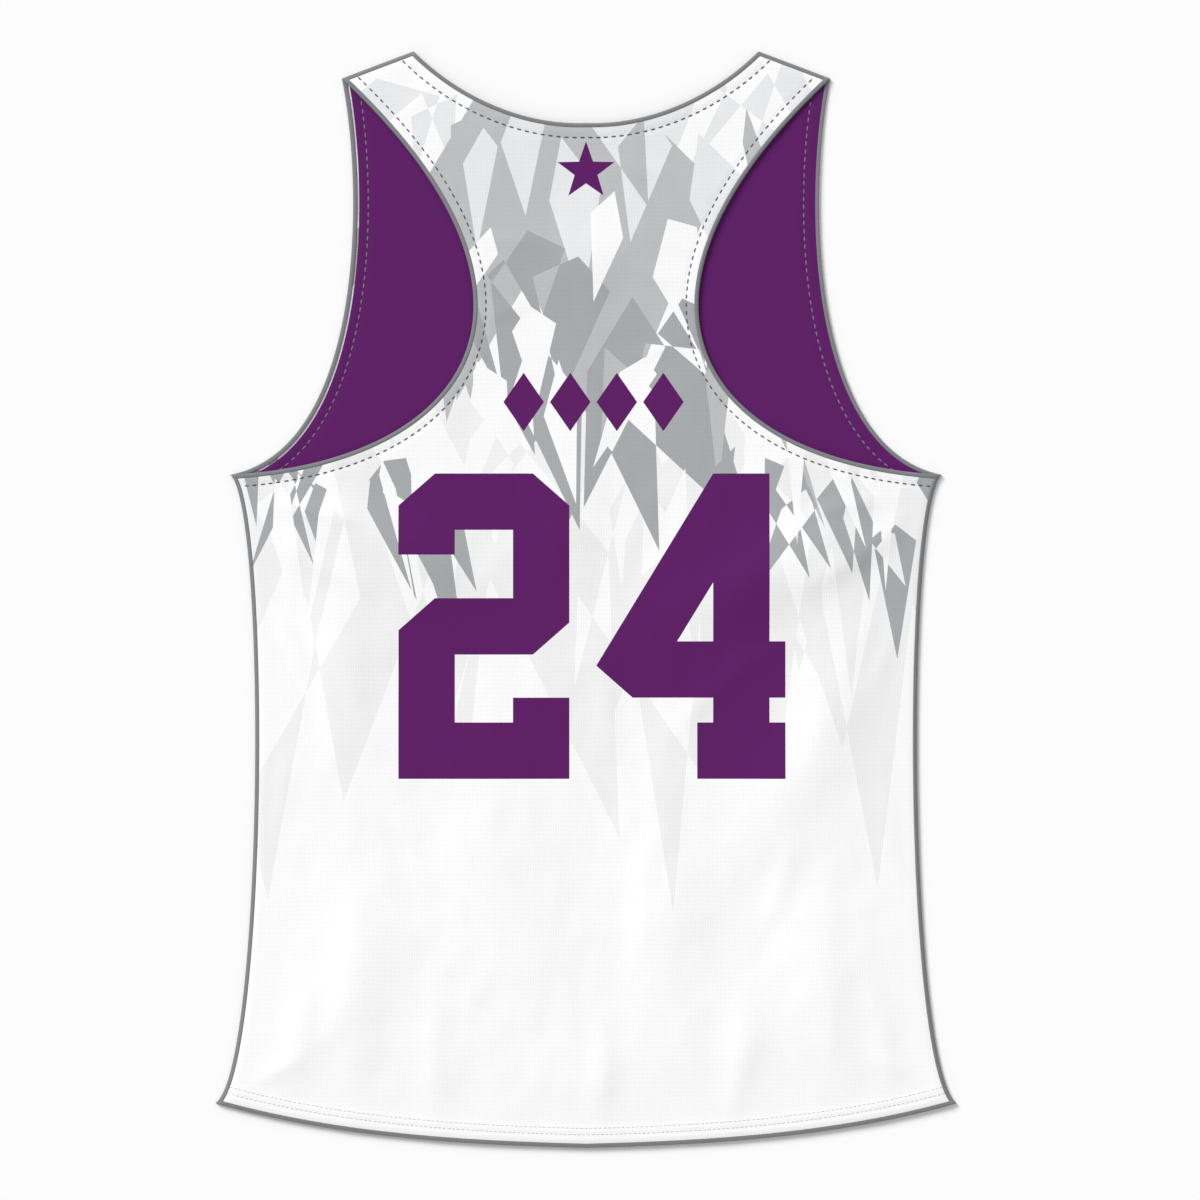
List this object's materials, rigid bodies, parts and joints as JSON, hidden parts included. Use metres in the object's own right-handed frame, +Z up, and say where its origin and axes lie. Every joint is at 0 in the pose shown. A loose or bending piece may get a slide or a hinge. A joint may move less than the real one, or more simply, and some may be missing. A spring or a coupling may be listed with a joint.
{
  "type": "reversible pinnie",
  "caption": "Sleeveless reversible sports top of two cloth layers, laid flat with its racer back up, purple inside and printed white outside, with block numbers.",
  "frame": {"origin": "on the surface that the garment lies on, under the middle of its box", "axes": "+Y from the hem towards the neck, +Z up through the layers from the front panels to the back panels, +X to the right as the back is seen"},
  "size_m": [0.493, 0.73, 0.008],
  "materials": {
    "printed_cloth": "white polyester knit with a pale grey print, matt with a faint sheen",
    "purple_cloth": "purple polyester knit, matt with a faint sheen",
    "grey_thread": "grey sewing thread, matt"
  },
  "bodies": {
    "root": {"front_outer": "printed_cloth", "front_inner": "purple_cloth", "back_inner": "purple_cloth", "back_outer": "printed_cloth"}
  },
  "joints": []
}
